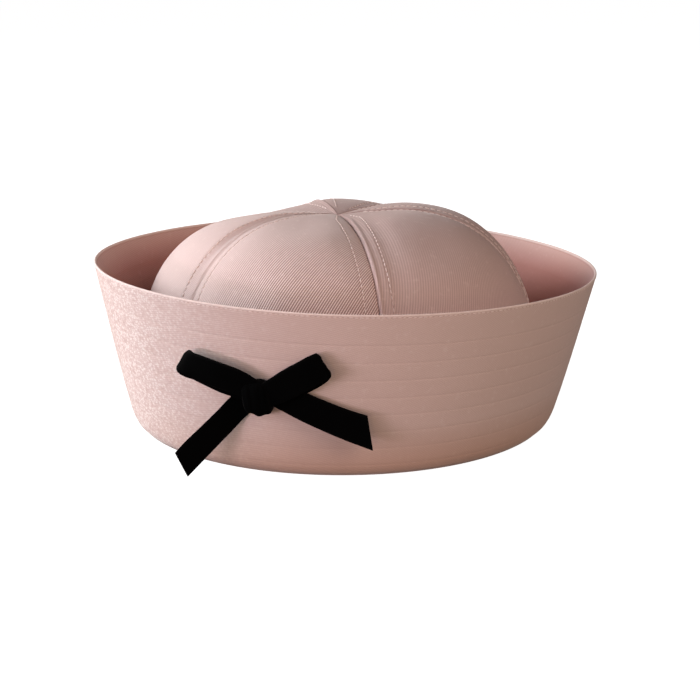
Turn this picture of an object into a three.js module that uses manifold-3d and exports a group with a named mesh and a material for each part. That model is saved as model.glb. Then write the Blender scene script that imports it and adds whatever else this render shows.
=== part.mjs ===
import * as THREE from "three";
import { mergeVertices } from "three/addons/utils/BufferGeometryUtils.js";
import Module from "manifold-3d";

// A sailor cap: six puffed gores make the crown, a stiff flared brim is turned up round it,
// and a small velvet bow is sewn to the brim. Lengths are millimetres and angles are degrees.
// +Z is up, the front faces -Y, and the origin is the middle of the base.
// An azimuth is measured about the cap's axis, from the front towards +X.

const seamClearance = 0.3; // between pieces that are sewn to each other
const sameCorner = 0.001; // corners nearer to each other than this are one

// Brim
const brimBaseRadius = 96.2;
const brimRimRadius = 113.8;
const brimHeight = 71.6;
const baseShift = -1.4; // the base's middle lies this far towards +X from the rim's
const rimFall = 0.0259; // the rim is this much lower for each millimetre towards +X
const brimSteps = 90; // around the cap
const rimRoundSteps = 4;
// Up the outside of the brim: share of the height, share of the flare, and the wall there
const brimRows = [
  { rise: 0.0, flare: -0.1, wall: 2.1 },
  { rise: 0.02, flare: -0.01, wall: 3.0 },
  { rise: 0.06, flare: 0.08, wall: 3.0 },
  { rise: 0.16, flare: 0.2, wall: 2.6 },
  { rise: 0.45, flare: 0.49, wall: 2.3 },
  { rise: 0.75, flare: 0.77, wall: 2.1 },
  { rise: 1.0, flare: 1.0, wall: 1.8 },
];
// Round the rim: how far it lies above its tilted circle
const rimRows = [
  { azimuth: -180, lift: 0 },
  { azimuth: -120, lift: -1.7 },
  { azimuth: -60, lift: 0 },
  { azimuth: 0, lift: 0 },
  { azimuth: 60, lift: 0 },
  { azimuth: 120, lift: -1.5 },
  { azimuth: 180, lift: 0 },
];

// Crown
const crownCloth = 1.5;
const apexShift = -3.5; // the seams meet this far towards +X from the rim's middle
const tipRadius = 1.3; // the gores' points stop this far from the meeting point
const goreStepsAcross = 12;
const goreStepsUp = 18;
const puffSharpness = 2.4; // a higher number makes a gore flatter and its seams deeper
// Up each seam: how far the cloth is from the middle of the base, at each angle above the floor,
// and how much further out the middle of a gore is. Seam A is at the front left, and the others
// follow it to the right and round the back.
const crownRows = [
  { lift: 0, seamA: 92, seamB: 92, seamC: 92, seamD: 92, seamE: 92, seamF: 92, puff: 0 },
  { lift: 12, seamA: 93.8, seamB: 94, seamC: 93.6, seamD: 93.6, seamE: 93.8, seamF: 93.6, puff: 0.6 },
  { lift: 24, seamA: 98.4, seamB: 99, seamC: 97.4, seamD: 97.8, seamE: 98, seamF: 97.8, puff: 1.7 },
  { lift: 36, seamA: 104.3, seamB: 105.4, seamC: 101.8, seamD: 102.5, seamE: 103.2, seamF: 102.2, puff: 2.8 },
  { lift: 46, seamA: 106.3, seamB: 107, seamC: 104.5, seamD: 104, seamE: 105, seamF: 103.2, puff: 3.4 },
  { lift: 56, seamA: 105.2, seamB: 104, seamC: 104.8, seamD: 102.2, seamE: 103.4, seamF: 101.2, puff: 3.6 },
  { lift: 68, seamA: 100.5, seamB: 98.6, seamC: 101, seamD: 97.5, seamE: 99.8, seamF: 96.2, puff: 2.9 },
  { lift: 80, seamA: 94.8, seamB: 93.8, seamC: 94.8, seamD: 93.2, seamE: 95.2, seamF: 92.8, puff: 1.4 },
  { lift: 90, seamA: 91.6, seamB: 91.6, seamC: 91.6, seamD: 91.6, seamE: 91.6, seamF: 91.6, puff: 0 },
];
// Round the crown: each gore runs from its own seam to the next row's seam
const goreRows = [
  { name: "crown_gore_front", seam: "seamA", azimuth: -50, puff: 1.2 },
  { name: "crown_gore_front_right", seam: "seamB", azimuth: 11, puff: 1.1 },
  { name: "crown_gore_back_right", seam: "seamC", azimuth: 85, puff: 1.0 },
  { name: "crown_gore_back", seam: "seamD", azimuth: 144, puff: 0.6 },
  { name: "crown_gore_back_left", seam: "seamE", azimuth: 195, puff: -0.3 },
  { name: "crown_gore_left", seam: "seamF", azimuth: 252, puff: 1.0 },
];
// Soft dents in the crown
const dentRows = [
  { azimuth: -22, lift: 66, depth: 1.6, spread: 9 },
  { azimuth: 38, lift: 52, depth: 1.0, spread: 8 },
  { azimuth: -84, lift: 64, depth: 1.0, spread: 9 },
];

// Bow
const ribbonWidth = 12;
const ribbonThickness = 1.1;
const bowAzimuth = -18;
const bowRise = 0.527; // share of the brim's height
const bowFlare = 0.565; // share of the brim's flare there
const bowRadius = 105; // of the brim where the bow sits
const knotHalfWidth = 6.6;
const knotHalfHeight = 8.2;
const knotHalfDepth = 3.7;
const knotBoxiness = 0.72; // 1 is an ellipsoid, and a lower number is squarer
const knotSteps = 18; // around the knot
const knotRings = 12;
const loopSteps = 22;
const tailSteps = 12;
// The bow is seen from in front of the brim: x to the right and y up the brim, out is the
// distance from the brim, width is a share of the ribbon's own, and turn rolls the ribbon.
const knotMiddle = { x: -0.4, y: -0.6 };
const leftLoopRows = [
  { x: -1.0, y: 2.0, out: 5.4, width: 0.6, turn: 0 },
  { x: -7.0, y: 4.9, out: 6.0, width: 0.72, turn: 0 },
  { x: -15.0, y: 7.5, out: 6.8, width: 0.9, turn: 0 },
  { x: -24.0, y: 9.7, out: 7.2, width: 0.98, turn: 0 },
  { x: -30.0, y: 10.7, out: 7.0, width: 0.94, turn: 0 },
  { x: -32.0, y: 10.3, out: 5.6, width: 0.86, turn: 0 },
  { x: -30.5, y: 9.2, out: 4.2, width: 0.92, turn: 0 },
  { x: -24.0, y: 7.5, out: 3.6, width: 0.98, turn: 0 },
  { x: -15.0, y: 5.3, out: 3.2, width: 0.9, turn: 0 },
  { x: -7.0, y: 2.9, out: 2.9, width: 0.72, turn: 0 },
  { x: -1.0, y: 0.4, out: 2.7, width: 0.6, turn: 0 },
];
const rightLoopRows = [
  { x: 1.5, y: -0.2, out: 5.4, width: 0.72, turn: 0 },
  { x: 9.6, y: 4.3, out: 6.0, width: 0.88, turn: 0 },
  { x: 15.5, y: 8.2, out: 6.6, width: 1.0, turn: 0 },
  { x: 21.0, y: 11.5, out: 6.8, width: 1.0, turn: 0 },
  { x: 24.9, y: 13.7, out: 6.4, width: 0.98, turn: 0 },
  { x: 26.6, y: 14.0, out: 5.1, width: 0.94, turn: 0 },
  { x: 24.6, y: 11.6, out: 3.8, width: 0.98, turn: 0 },
  { x: 20.0, y: 8.6, out: 3.4, width: 1.0, turn: 0 },
  { x: 14.3, y: 5.4, out: 3.1, width: 0.98, turn: 0 },
  { x: 8.3, y: 2.2, out: 2.9, width: 0.88, turn: 0 },
  { x: 2.0, y: -1.2, out: 2.7, width: 0.72, turn: 0 },
];
const leftTailRows = [
  { x: -1.5, y: -1.0, out: 1.1, width: 0.74, turn: 0 },
  { x: -9.0, y: -6.5, out: 1.6, width: 0.86, turn: 6 },
  { x: -16.5, y: -14.0, out: 6.6, width: 0.89, turn: 8 },
  { x: -24.5, y: -21.5, out: 13.6, width: 0.93, turn: 6 },
  { x: -32.5, y: -29.3, out: 20.2, width: 0.98, turn: 0 },
];
const rightTailRows = [
  { x: 2.0, y: 1.0, out: 1.3, width: 0.84, turn: 0 },
  { x: 12.0, y: -2.7, out: 2.0, width: 0.98, turn: -7 },
  { x: 22.0, y: -7.0, out: 3.4, width: 1.0, turn: -15 },
  { x: 32.0, y: -11.5, out: 5.0, width: 1.0, turn: -20 },
  { x: 42.0, y: -16.4, out: 6.5, width: 1.03, turn: -22 },
];
const leftLoopTilt = 66; // the angle of each ribbon's width, from x towards y
const rightLoopTilt = 123;
const tailTilt = 90;
const leftTailCut = -25; // how far each tail's end is cut off square
const rightTailCut = -33;
const cutSharpness = 4; // a higher number keeps the cut's slant nearer to the end

const brimCloth = new THREE.MeshStandardMaterial({ color: 0xd9b3ac, roughness: 0.85, metalness: 0 });
const crownTwill = new THREE.MeshStandardMaterial({ color: 0xd8b6b1, roughness: 0.85, metalness: 0 });
const velvet = new THREE.MeshStandardMaterial({ color: 0x08080a, roughness: 0.95, metalness: 0 });

const wasm = await Module();
wasm.setup();

const rad = THREE.MathUtils.degToRad;

// One column of a table as a smooth curve over another column.
function columnCurve(rows, over, name) {
  const places = rows.map((row) => row[over]);
  const values = rows.map((row) => row[name]);
  const curve = new THREE.CubicInterpolant(places, values, 1);
  return (place) => curve.evaluate(place)[0];
}

// A closed surface over rings of the same number of points. A chain of rings is either joined
// end to end or closed at both ends, where each point is paired with the one across the wall.
function skin(rings, endless) {
  const size = rings[0].length;
  const points = rings.flat();
  const faces = [];
  const quad = (a, b, c, d) => faces.push(a, b, c, a, c, d);
  const spans = endless ? rings.length : rings.length - 1;
  for (let i = 0; i < spans; i++) {
    const here = i * size;
    const next = ((i + 1) % rings.length) * size;
    for (let j = 0; j < size; j++) {
      const k = (j + 1) % size;
      quad(here + j, here + k, next + k, next + j);
    }
  }
  if (!endless) {
    const last = (rings.length - 1) * size;
    for (let j = 0; j < size / 2 - 1; j++) {
      quad(j, size - 1 - j, size - 2 - j, j + 1);
      quad(last + j, last + j + 1, last + size - 2 - j, last + size - 1 - j);
    }
  }
  const made = new THREE.BufferGeometry().setFromPoints(points);
  made.setIndex(volumeOf(points, faces) < 0 ? faces.reverse() : faces);
  made.computeVertexNormals();
  return made;
}

function volumeOf(points, faces) {
  let volume = 0;
  const turned = new THREE.Vector3();
  for (let i = 0; i < faces.length; i += 3) {
    turned.crossVectors(points[faces[i + 1]], points[faces[i + 2]]);
    volume += points[faces[i]].dot(turned) / 6;
  }
  return volume;
}

// A point at a radius, an azimuth and a height
function around(radius, azimuth, height) {
  return new THREE.Vector3(radius * Math.sin(rad(azimuth)), -radius * Math.cos(rad(azimuth)), height);
}

// An angle less another, from -180 to 180
function angleBetween(a, b) {
  return THREE.MathUtils.euclideanModulo(a - b + 180, 360) - 180;
}

// Brim
const flare = brimRimRadius - brimBaseRadius;

const rimLift = columnCurve(rimRows, "azimuth", "lift");

function rimHeight(azimuth) {
  const tilted = brimHeight - rimFall * brimRimRadius * Math.sin(rad(azimuth));
  return tilted + rimLift(angleBetween(azimuth, 0));
}

// A point of the brim's wall, so deep behind its outside
function brimPoint(row, azimuth, depth) {
  const radius = brimBaseRadius + flare * row.flare - depth;
  const point = around(radius, azimuth, rimHeight(azimuth) * row.rise);
  point.x += baseShift * (1 - row.rise);
  return point;
}

function brimSection(azimuth) {
  const rim = brimRows.at(-1);
  const outside = brimRows.map((row) => brimPoint(row, azimuth, 0));
  const inside = brimRows.map((row) => brimPoint(row, azimuth, row.wall));
  const rounding = [];
  for (let i = 1; i < rimRoundSteps; i++) {
    const turn = (Math.PI * i) / rimRoundSteps;
    const point = brimPoint(rim, azimuth, (rim.wall * (1 - Math.cos(turn))) / 2);
    point.z += (rim.wall * Math.sin(turn)) / 2;
    rounding.push(point);
  }
  return [...outside, ...rounding, ...inside.reverse()];
}

function makeBrim() {
  const sections = [];
  for (let i = 0; i < brimSteps; i++) {
    sections.push(brimSection((360 * i) / brimSteps));
  }
  const brim = new THREE.Mesh(skin(sections, true), brimCloth);
  brim.name = "brim";
  return brim;
}

// Crown
const seamCurves = goreRows.map((gore) => columnCurve(crownRows, "lift", gore.seam));
const puffCurve = columnCurve(crownRows, "lift", "puff");

function dentAt(azimuth, lift) {
  let depth = 0;
  for (const dent of dentRows) {
    const across = angleBetween(azimuth, dent.azimuth) * Math.cos(rad(lift));
    const away = Math.hypot(across, lift - dent.lift) / dent.spread;
    depth += dent.depth * Math.exp(-away * away);
  }
  return depth;
}

// A point of a gore: share is 0 on its own seam and 1 on the next, and depth goes into the cloth.
function gorePoint(index, lift, share, depth) {
  const next = (index + 1) % goreRows.length;
  const gore = goreRows[index];
  const span = THREE.MathUtils.euclideanModulo(goreRows[next].azimuth - gore.azimuth, 360);
  const seams = THREE.MathUtils.lerp(seamCurves[index](lift), seamCurves[next](lift), share);
  const level = Math.cos(rad(lift));
  const inset = THREE.MathUtils.radToDeg(seamClearance / 2 / (seams * level));
  const azimuth = gore.azimuth + inset + (span - 2 * inset) * share;
  const bulge = 1 - Math.abs(2 * share - 1) ** puffSharpness;
  const reach = seams + (gore.puff * puffCurve(lift) - dentAt(azimuth, lift)) * bulge - depth;
  const point = around(reach * level, azimuth, reach * Math.sin(rad(lift)));
  point.x += THREE.MathUtils.lerp(apexShift, baseShift, level * level);
  return point;
}

function goreRing(index, lift) {
  const ring = [];
  for (const depth of [0, crownCloth]) {
    const side = [];
    for (let i = 0; i <= goreStepsAcross; i++) {
      side.push(gorePoint(index, lift, i / goreStepsAcross, depth));
    }
    ring.push(...(depth ? side.reverse() : side));
  }
  return ring;
}

function makeGore(gore, index) {
  const topLift = 90 - THREE.MathUtils.radToDeg(tipRadius / crownRows.at(-1)[gore.seam]);
  const rings = [];
  for (let i = 0; i <= goreStepsUp; i++) {
    rings.push(goreRing(index, (topLift * i) / goreStepsUp));
  }
  const made = new THREE.Mesh(skin(rings, false), crownTwill);
  made.name = gore.name;
  return made;
}

// Bow
function ribbonPoint(row) {
  return new THREE.Vector3(row.x, row.y, row.out - (row.x * row.x) / (2 * bowRadius));
}

// A ribbon along its rows. Its width lies in the bow's face, square to the ribbon's run, and a
// cut slants its far end.
function ribbon(rows, steps, tilt, cut) {
  const across = new THREE.Vector3(Math.cos(rad(tilt)), Math.sin(rad(tilt)), 0);
  const path = new THREE.CatmullRomCurve3(rows.map(ribbonPoint), false, "centripetal");
  const places = rows.map((row, i) => ({ ...row, place: i / (rows.length - 1) }));
  const widthAt = columnCurve(places, "place", "width");
  const turnAt = columnCurve(places, "place", "turn");
  const rings = [];
  for (let i = 0; i <= steps; i++) {
    const place = i / steps;
    const run = path.getTangent(place);
    const side = across.clone().addScaledVector(run, -run.dot(across)).normalize();
    side.applyAxisAngle(run, rad(turnAt(place)));
    const face = new THREE.Vector3().crossVectors(run, side);
    const half = (ribbonWidth * widthAt(place)) / 2;
    const slant = Math.tan(rad(cut)) * half * place ** cutSharpness;
    const corner = (s, f) =>
      path
        .getPoint(place)
        .addScaledVector(side, s * half)
        .addScaledVector(run, s * slant)
        .addScaledVector(face, (f * ribbonThickness) / 2);
    rings.push([corner(-1, 1), corner(1, 1), corner(1, -1), corner(-1, -1)]);
  }
  return skin(rings, false);
}

function power(value, exponent) {
  return Math.sign(value) * Math.abs(value) ** exponent;
}

// The knot is a plump pad with a flat back that sits on the brim.
function knotShape(grow) {
  const made = new THREE.SphereGeometry(1, knotSteps, knotRings);
  const place = made.getAttribute("position");
  const middle = seamClearance + knotHalfDepth;
  for (let i = 0; i < place.count; i++) {
    const x = power(place.getX(i), knotBoxiness) * (knotHalfWidth + grow);
    const y = power(place.getY(i), knotBoxiness) * (knotHalfHeight + grow);
    const z = power(place.getZ(i), knotBoxiness) * (knotHalfDepth + grow);
    place.setXYZ(i, knotMiddle.x + x, knotMiddle.y + y, middle + z);
  }
  return closed(made);
}

// The geometry with only its places, and its shared corners joined
function closed(geometry) {
  geometry.deleteAttribute("normal");
  geometry.deleteAttribute("uv");
  const merged = mergeVertices(geometry, sameCorner);
  merged.computeVertexNormals();
  return merged;
}

function solidOf(geometry) {
  return new wasm.Manifold(
    new wasm.Mesh({
      numProp: 3,
      vertProperties: geometry.getAttribute("position").array,
      triVerts: new Uint32Array(geometry.index.array),
    }),
  );
}

// What is left of a ribbon outside the knot, with the seam's clearance between them
function clearOfKnot(geometry) {
  const left = solidOf(closed(geometry)).subtract(solidOf(knotShape(seamClearance))).getMesh();
  const made = new THREE.BufferGeometry();
  made.setAttribute("position", new THREE.BufferAttribute(left.vertProperties, 3));
  made.setIndex(new THREE.BufferAttribute(left.triVerts, 1));
  made.computeVertexNormals();
  return made;
}

function makeBow() {
  const pieces = {
    bow_knot: knotShape(0),
    bow_loop_left: clearOfKnot(ribbon(leftLoopRows, loopSteps, leftLoopTilt, 0)),
    bow_loop_right: clearOfKnot(ribbon(rightLoopRows, loopSteps, rightLoopTilt, 0)),
    bow_tail_left: clearOfKnot(ribbon(leftTailRows, tailSteps, tailTilt, leftTailCut)),
    bow_tail_right: clearOfKnot(ribbon(rightTailRows, tailSteps, tailTilt, rightTailCut)),
  };
  const slope = Math.atan2(flare, rimHeight(bowAzimuth));
  const right = new THREE.Vector3(Math.cos(rad(bowAzimuth)), Math.sin(rad(bowAzimuth)), 0);
  const out = around(Math.cos(slope), bowAzimuth, -Math.sin(slope));
  const up = new THREE.Vector3().crossVectors(out, right);
  const bow = new THREE.Group();
  bow.quaternion.setFromRotationMatrix(new THREE.Matrix4().makeBasis(right, up, out));
  bow.position.copy(brimPoint({ rise: bowRise, flare: bowFlare }, bowAzimuth, 0));
  for (const [name, geometry] of Object.entries(pieces)) {
    const piece = new THREE.Mesh(geometry, velvet);
    piece.name = name;
    bow.add(piece);
  }
  return bow;
}

const cap = new THREE.Group();
cap.add(makeBrim());
goreRows.forEach((gore, index) => cap.add(makeGore(gore, index)));
cap.add(makeBow());

export default cap;
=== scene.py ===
import math
import bpy
import numpy as np
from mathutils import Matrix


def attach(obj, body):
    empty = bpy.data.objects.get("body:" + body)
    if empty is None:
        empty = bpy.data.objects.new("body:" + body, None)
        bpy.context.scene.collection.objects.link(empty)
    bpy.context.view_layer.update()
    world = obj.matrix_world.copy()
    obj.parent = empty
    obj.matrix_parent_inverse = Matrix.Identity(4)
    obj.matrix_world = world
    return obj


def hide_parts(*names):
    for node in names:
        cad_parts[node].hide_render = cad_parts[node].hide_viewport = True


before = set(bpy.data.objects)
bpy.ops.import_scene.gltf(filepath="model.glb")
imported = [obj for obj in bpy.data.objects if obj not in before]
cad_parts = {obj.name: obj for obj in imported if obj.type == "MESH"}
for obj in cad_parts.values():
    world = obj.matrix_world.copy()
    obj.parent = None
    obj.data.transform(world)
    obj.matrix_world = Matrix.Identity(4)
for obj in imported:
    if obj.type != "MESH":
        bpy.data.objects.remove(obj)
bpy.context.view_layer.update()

mm = 0.001
scene = bpy.context.scene
scene.view_settings.view_transform = "Standard"
print("frame loaded:", len(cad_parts), "nodes")


cameraSetup = {
    "place": (0.0, -0.6694, 0.2047),
    "down": 14.776,  # degrees below the horizon
    "right": 0.17,  # degrees towards +X
    "lens": 76.4,
    "sensor": 36,
    "nearest": 0.01,
}


def addObject(name, data):
    made = bpy.data.objects.new(name, data)
    scene.collection.objects.link(made)
    return made


def addCamera(setup):
    data = bpy.data.cameras.new("capCamera")
    data.lens = setup["lens"]
    data.sensor_width = setup["sensor"]
    data.clip_start = setup["nearest"]
    made = addObject("capCamera", data)
    made.location = setup["place"]
    made.rotation_euler = (math.radians(90 - setup["down"]), 0, math.radians(-setup["right"]))
    scene.camera = made


addCamera(cameraSetup)
print("camera set")


class Wire:
    # a socket that can be added, taken away, multiplied and so on
    def __init__(self, desk, socket):
        self.desk = desk
        self.socket = socket

    def maths(self, operation, *values):
        return self.desk.node("ShaderNodeMath", {"operation": operation}, dict(enumerate(values)))

    def __add__(self, other):
        return self.maths("ADD", self, other)

    def __radd__(self, other):
        return self.maths("ADD", other, self)

    def __sub__(self, other):
        return self.maths("SUBTRACT", self, other)

    def __rsub__(self, other):
        return self.maths("SUBTRACT", other, self)

    def __mul__(self, other):
        return self.maths("MULTIPLY", self, other)

    def __rmul__(self, other):
        return self.maths("MULTIPLY", other, self)

    def __truediv__(self, other):
        return self.maths("DIVIDE", self, other)

    def __pow__(self, other):
        return self.maths("POWER", self, other)

    def __abs__(self):
        return self.maths("ABSOLUTE", self)

    def floor(self):
        return self.maths("FLOOR", self)

    def wave(self):
        # 1 at whole numbers and 0 half way between them
        return self.maths("COSINE", self * (2 * math.pi)) * 0.5 + 0.5

    def hump(self, middle, width):
        # 1 at the middle, falling away smoothly over the width
        away = (self - middle) / width
        return self.maths("EXPONENT", away * away * -1.0)

    def clamped(self):
        return self.desk.node("ShaderNodeClamp", {}, {0: self})


class NodeDesk:
    def __init__(self, tree):
        self.tree = tree

    def node(self, kind, settings=None, values=None, out=0):
        made = self.tree.nodes.new(kind)
        for name, value in (settings or {}).items():
            setattr(made, name, value)
        for name, value in (values or {}).items():
            self.plug(made.inputs[name], value)
        return Wire(self, made.outputs[out]) if made.outputs else None

    def plug(self, socket, value):
        if isinstance(value, Wire):
            self.tree.links.new(value.socket, socket)
        else:
            socket.default_value = (*value, 1.0) if socket.type == "RGBA" else value

    def colours(self, factor, first, second, blend="MIX"):
        settings = {"data_type": "RGBA", "blend_type": blend}
        return self.node("ShaderNodeMix", settings, {0: factor, 6: first, 7: second}, 2)

    def noise(self, place, scale, detail):
        return self.node("ShaderNodeTexNoise", {}, {"Vector": place, "Scale": scale, "Detail": detail})

    def attribute(self, name):
        # a number that the piece stores at each of its points
        return self.node("ShaderNodeAttribute", {"attribute_name": name}, out=2)

    def shade(self, values):
        for name, value in values.items():
            self.plug(self.tree.nodes["Principled BSDF"].inputs[name], value)


def smoothColumn(table, over, name):
    # one column of a table as a smooth curve over another
    knots, values = np.array(table[over], float), np.array(table[name], float)
    last = len(knots) - 1

    def at(places):
        places = np.clip(np.asarray(places, float), knots[0], knots[-1])
        i = np.clip(np.searchsorted(knots, places, side="right") - 1, 0, last - 1)
        left, right = knots[i], knots[i + 1]
        before = np.where(i == 0, i + 1, i - 1)
        after = np.where(i + 2 > last, i, i + 2)
        half = (right - left) / 2
        weightBefore = half / (left - knots[before])
        weightAfter = half / (knots[after] - right)
        p = (places - left) / (right - left)
        return (
            values[before] * weightBefore * (-(p**3) + 2 * p**2 - p)
            + values[i]
            * ((1 + weightBefore) * p**3 - (1.5 + 2 * weightBefore) * p**2 + (weightBefore - 0.5) * p + 1)
            + values[i + 1] * (-(1 + weightAfter) * p**3 + (1.5 + weightAfter) * p**2 + 0.5 * p)
            + values[after] * weightAfter * (p**3 - p**2)
        )

    return at


def gridFaces(columns, rows, ringColumns, ringRows):
    # quads of a grid: the vertex numbers, and the places in the unrolled grid
    i, j = np.meshgrid(
        np.arange(columns if ringColumns else columns - 1),
        np.arange(rows if ringRows else rows - 1),
        indexing="ij",
    )
    corners = [(i, j), (i + 1, j), (i + 1, j + 1), (i, j + 1)]
    places = np.stack([np.stack(corner, -1) for corner in corners], 2).reshape(-1, 4, 2)
    numbers = (places[..., 0] % columns) * rows + places[..., 1] % rows
    return numbers, places


def addMesh(name, points, edges, faces):
    mesh = bpy.data.meshes.new(name)
    mesh.from_pydata(points, edges, faces)
    return addObject(name, mesh)


def addPiece(name, points, faces, cloth=None, floats=None, material=None):
    # points in metres; cloth holds a flat place for each corner of each face
    points = np.asarray(points, float).reshape(-1, 3)
    faces = [list(map(int, face)) for face in faces]
    # a volume below nothing means that the faces point inwards
    volume = 0.0
    for step in (1, 2):
        picked = [face for face in faces if len(face) > step + 1]
        a = points[[face[0] for face in picked]]
        b = points[[face[step] for face in picked]]
        c = points[[face[step + 1] for face in picked]]
        volume += np.einsum("ij,ij->", a, np.cross(b, c))
    flip = volume < 0
    if flip:
        faces = [face[::-1] for face in faces]
    made = addMesh(name, points.tolist(), [], faces)
    mesh = made.data
    if cloth is not None:
        layer = mesh.uv_layers.new(name="cloth")
        flat = np.concatenate([np.asarray(one)[::-1] if flip else np.asarray(one) for one in cloth])
        layer.data.foreach_set("uv", flat.astype(np.float32).ravel())
    for label, values in (floats or {}).items():
        mesh.attributes.new(label, "FLOAT", "POINT").data.foreach_set("value", np.asarray(values, np.float32))
    mesh.polygons.foreach_set("use_smooth", np.ones(len(faces), bool))
    mesh.update()
    if material:
        mesh.materials.append(material)
    return made


def around(radius, azimuth, height):
    angle = np.radians(azimuth)
    return np.stack(np.broadcast_arrays(radius * np.sin(angle), -radius * np.cos(angle), height), -1)


def angleBetween(a, b):
    return (a - b + 180) % 360 - 180


def humpAt(distance, middle, width):
    return np.exp(-(((distance - middle) / width) ** 2))


def fadeAt(value, start, over):
    return np.clip((value - start) / over, 0, 1)


def runAlong(path, power=1.0):
    # how far along a line of points each one is
    return np.concatenate([[0], np.cumsum(np.linalg.norm(np.diff(path, axis=0), axis=1) ** power)])


def bakeModifiers(piece):
    # the piece keeps what its modifiers make, as a plain mesh
    graph = bpy.context.evaluated_depsgraph_get()
    graph.update()
    ready = piece.evaluated_get(graph)
    mesh = bpy.data.meshes.new_from_object(ready, preserve_all_data_layers=True, depsgraph=graph)
    old = piece.data
    piece.modifiers.clear()
    piece.data = mesh
    bpy.data.meshes.remove(old)
    mesh.name = piece.name
    return piece


def useNodes(piece, tree, values):
    made = piece.modifiers.new(tree.name, "NODES")
    made.node_group = tree
    names = {item.name: item.identifier for item in tree.interface.items_tree if item.in_out == "INPUT"}
    for name, value in values.items():
        made[names[name]] = value
    return bakeModifiers(piece)


def startTree(name, inputs):
    # a tree of geometry nodes, its desk, and a wire from each of its inputs
    tree = bpy.data.node_groups.new(name, "GeometryNodeTree")
    tree.interface.new_socket("Geometry", in_out="INPUT", socket_type="NodeSocketGeometry")
    for kind, labels in inputs.items():
        for label in labels:
            tree.interface.new_socket(label, in_out="INPUT", socket_type="NodeSocket" + kind)
    tree.interface.new_socket("Geometry", in_out="OUTPUT", socket_type="NodeSocketGeometry")
    desk = NodeDesk(tree)
    given = desk.node("NodeGroupInput").socket.node
    return tree, desk, {socket.name: Wire(desk, socket) for socket in given.outputs}


def endTree(desk, geometry, material):
    real = desk.node("GeometryNodeRealizeInstances", {}, {0: geometry})
    painted = desk.node("GeometryNodeSetMaterial", {}, {0: real, "Material": material})
    desk.node("NodeGroupOutput", {}, {0: painted})


def startMaterial(name):
    material = bpy.data.materials.new(name)
    material.use_nodes = True
    return material, NodeDesk(material.node_tree)


# what both twills share
twillGrain = {
    "yarnStep": 0.37,  # how far the yarns of one rib lie past the last rib's
    "driftScale": 26.0,  # slow changes of colour
    "driftContrast": 0.9,
    "driftMiddle": 0.35,
    "driftShare": 0.45,
    "slubScale": 420.0,  # thick and thin places of the yarns
    "plainLight": 0.75,
    "slubLight": 0.5,
    "slubDepth": 0.03,
    "slubShine": 0.2,
    "fleckScale": 330.0,  # pale yarns
    "fleckFrom": 0.62,
    "fleckSharp": 9.0,
    "sheenRoughness": 0.45,
    "specular": 0.25,
}


def threadPattern(desk, flatPlace, look):
    # ribs of a twill, 0 in the furrows and 1 on the ribs, in yarns that lie over each other
    parts = desk.node("ShaderNodeSeparateXYZ", {}, {0: flatPlace})
    x, y = parts, Wire(desk, parts.socket.node.outputs[1])
    angle = math.radians(look["ribAngle"])
    across = (y * math.cos(angle) - x * math.sin(angle)) / (look["ribPitch"] * mm)
    along = (x * math.cos(angle) + y * math.sin(angle)) / (look["yarnPitch"] * mm)
    rib = across.wave()
    yarn = (along + (across + 0.5).floor() * twillGrain["yarnStep"]).wave()
    return rib * (1.0 - look["yarn"] * yarn)


def makeTwill(name, look):
    material, desk = startMaterial(name)
    grain = twillGrain
    flatPlace = desk.node("ShaderNodeUVMap", {"uv_map": "cloth"})
    solidPlace = desk.node("ShaderNodeTexCoord", out=3)
    weave = threadPattern(desk, flatPlace, look)
    drift = desk.noise(solidPlace, grain["driftScale"], 3.0)
    slubs = desk.noise(flatPlace, grain["slubScale"], 2.0)
    flecks = desk.noise(flatPlace, grain["fleckScale"], 1.0)
    patches = desk.noise(solidPlace, look["patchScale"], 2.0)
    # the weave's furrows take the darker furrow colour, which is painted shade in the furrows; the ribs take
    # the cloth's own colour
    lit = (weave * (grain["plainLight"] + grain["slubLight"] * slubs)).clamped()
    if look.get("crisp"):
        # the weave's painted furrow shade stands out only as far as the piece says, and elsewhere the cloth
        # takes the piece's even tone, a painted light and shade
        even = desk.attribute("even")
        lit = even + (lit - even) * desk.attribute("crisp")
    colour = desk.colours(lit, look["furrow"], look["rib"])
    warmth = ((drift - 0.5) * grain["driftContrast"] + grain["driftMiddle"]).clamped() * grain["driftShare"]
    colour = desk.colours(warmth, colour, look["warm"], "MULTIPLY")
    pale = ((flecks - grain["fleckFrom"]) * grain["fleckSharp"]).clamped() * look["flecks"]
    colour = desk.colours(pale, colour, look["fleck"])
    height = weave * look["ribDepth"] * mm + (patches - 0.5) * look["patchDepth"] * mm
    height = height + slubs * grain["slubDepth"] * mm
    if look.get("wearAndGlint"):
        colour = addWearAndGlint(desk, look, flatPlace, colour)
    if look.get("rows"):
        colour, height = addRows(desk, look, colour, height)
    bump = desk.node("ShaderNodeBump", {}, {"Height": height, "Strength": look["bump"], "Distance": 1.0})
    desk.shade({
        "Base Color": colour,
        "Roughness": (look["roughness"] + (slubs - 0.5) * grain["slubShine"]).clamped(),
        "Normal": bump,
        "Sheen Weight": look["sheen"],
        "Sheen Roughness": grain["sheenRoughness"],
        "Sheen Tint": look["sheenTint"],
        "Specular IOR Level": grain["specular"],
    })
    return material


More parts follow.
